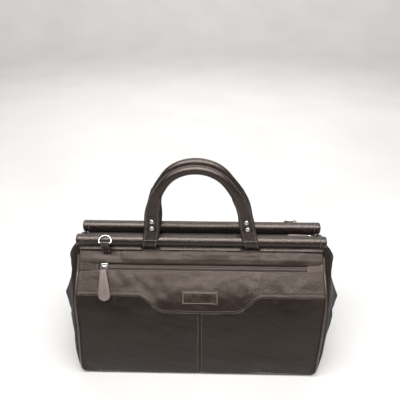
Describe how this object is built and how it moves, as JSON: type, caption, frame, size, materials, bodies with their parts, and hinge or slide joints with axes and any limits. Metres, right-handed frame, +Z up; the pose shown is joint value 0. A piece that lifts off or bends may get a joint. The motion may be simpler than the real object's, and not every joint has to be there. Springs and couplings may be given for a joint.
{
  "type": "doctor bag",
  "caption": "Soft leather travel doctor bag that opens wide between rod-stiffened rolls, with arched handles, a closing zip and a zip pocket on the front.",
  "frame": {"origin": "middle of the base, on the surface that the bag stands on", "axes": "+X along the bag to its right seen from the pocket side, +Y from the pocket side to the back, +Z up"},
  "size_m": [0.558, 0.2116, 0.4022],
  "materials": {
    "bag_leather": "dark brown pull-up leather with a soft sheen and fine creases",
    "handle_leather": "dark brown leather, smoother and slightly glossier, with stitched edges",
    "piping_leather": "dark brown leather piping, worn a little lighter on the crown",
    "pull_leather": "greyer brown leather pull, doubled, with a tan raw edge",
    "zip_tape": "brown woven zip tape",
    "zip_teeth": "brown nylon coil",
    "nickel": "bright nickel plate",
    "foot_metal": "nickel studs",
    "steel_rod": "plain steel rod, hidden in the roll",
    "base_board": "stiff fibreboard",
    "lining_cloth": "brown cotton lining"
  },
  "bodies": {
    "base": {"back_lower_panel": "bag_leather", "base_board": "base_board", "base_panel": "bag_leather", "foot_back_left": "foot_metal", "foot_back_right": "foot_metal", "foot_front_left": "foot_metal", "foot_front_right": "foot_metal", "front_lower_panel_left": "bag_leather", "front_lower_panel_right": "bag_leather", "gusset_back_left": "bag_leather", "gusset_back_right": "bag_leather", "gusset_front_left": "bag_leather", "gusset_front_right": "bag_leather", "lining": "lining_cloth", "piping_lower_back_left": "piping_leather", "piping_lower_back_right": "piping_leather", "piping_lower_front_left": "piping_leather", "piping_lower_front_right": "piping_leather", "top_zip_end_left": "bag_leather", "top_zip_end_right": "bag_leather"},
    "front_jaw": {"front_band": "bag_leather", "front_d_tab": "bag_leather", "front_roll_cover": "bag_leather", "front_roll_rod": "steel_rod", "front_top_panel": "bag_leather", "front_yoke": "bag_leather", "name_patch": "bag_leather", "piping_upper_front_left": "piping_leather", "piping_upper_front_right": "piping_leather", "pocket_bag": "lining_cloth", "pocket_end_tab_left": "bag_leather", "pocket_end_tab_right": "bag_leather", "pocket_zip_tape": "zip_tape", "pocket_zip_teeth": "zip_teeth", "top_zip_tape_front": "zip_tape"},
    "back_jaw": {"back_band": "bag_leather", "back_d_tab": "bag_leather", "back_roll_cover": "bag_leather", "back_roll_rod": "steel_rod", "back_upper_panel": "bag_leather", "piping_upper_back_left": "piping_leather", "piping_upper_back_right": "piping_leather", "top_zip_tape_back": "zip_tape"},
    "front_handle": {"front_handle_grip": "handle_leather", "front_handle_loop_left": "handle_leather", "front_handle_loop_right": "handle_leather", "front_handle_rivets": "nickel"},
    "back_handle": {"back_handle_grip": "handle_leather", "back_handle_loop_left": "handle_leather", "back_handle_loop_right": "handle_leather", "back_handle_rivets": "nickel"},
    "front_ring": {"front_d_ring": "nickel"},
    "back_ring": {"back_d_ring": "nickel"},
    "pocket_slider": {"pocket_slider": "nickel"},
    "pocket_pull": {"pocket_pull_leather": "pull_leather", "pocket_pull_link": "nickel"},
    "top_slider": {"top_slider": "nickel"},
    "top_pull": {"top_pull_leather": "pull_leather", "top_pull_link": "nickel"}
  },
  "joints": [
    {"name": "front_opening", "type": "hinge", "parent": "base", "child": "front_jaw", "pos_m": [0, -0.093, 0.15], "axis": [1, 0, 0], "range_deg": [0, 19]},
    {"name": "back_opening", "type": "hinge", "parent": "base", "child": "back_jaw", "pos_m": [0, 0.093, 0.15], "axis": [-1, 0, 0], "range_deg": [0, 19]},
    {"name": "front_handle_swing", "type": "hinge", "parent": "front_jaw", "child": "front_handle", "pos_m": [0, -0.0225, 0.2575], "axis": [1, 0, 0], "range_deg": [-2, 125]},
    {"name": "back_handle_swing", "type": "hinge", "parent": "back_jaw", "child": "back_handle", "pos_m": [0, 0.0225, 0.2575], "axis": [-1, 0, 0], "range_deg": [-2, 125]},
    {"name": "front_ring_turn", "type": "hinge", "parent": "front_jaw", "child": "front_ring", "pos_m": [-0.17, -0.037, 0.261], "axis": [1, 0, 0], "range_deg": [0, 150]},
    {"name": "back_ring_turn", "type": "hinge", "parent": "back_jaw", "child": "back_ring", "pos_m": [0.17, 0.037, 0.261], "axis": [-1, 0, 0], "range_deg": [0, 150]},
    {"name": "pocket_zip_run", "type": "slide", "parent": "front_jaw", "child": "pocket_slider", "axis": [1, 0, 0], "range_m": [0, 0.355]},
    {"name": "pocket_pull_lift", "type": "hinge", "parent": "pocket_slider", "child": "pocket_pull", "pos_m": [-0.174, -0.05083, 0.21955], "axis": [-1, 0, 0], "range_deg": [0, 115]},
    {"name": "top_zip_run", "type": "slide", "parent": "front_jaw", "child": "top_slider", "axis": [-1, 0, 0], "range_m": [0, 0.39]},
    {"name": "top_pull_lift", "type": "hinge", "parent": "top_slider", "child": "top_pull", "pos_m": [0.2025, 0, 0.2542], "axis": [0, 1, 0], "range_deg": [0, 150]}
  ]
}
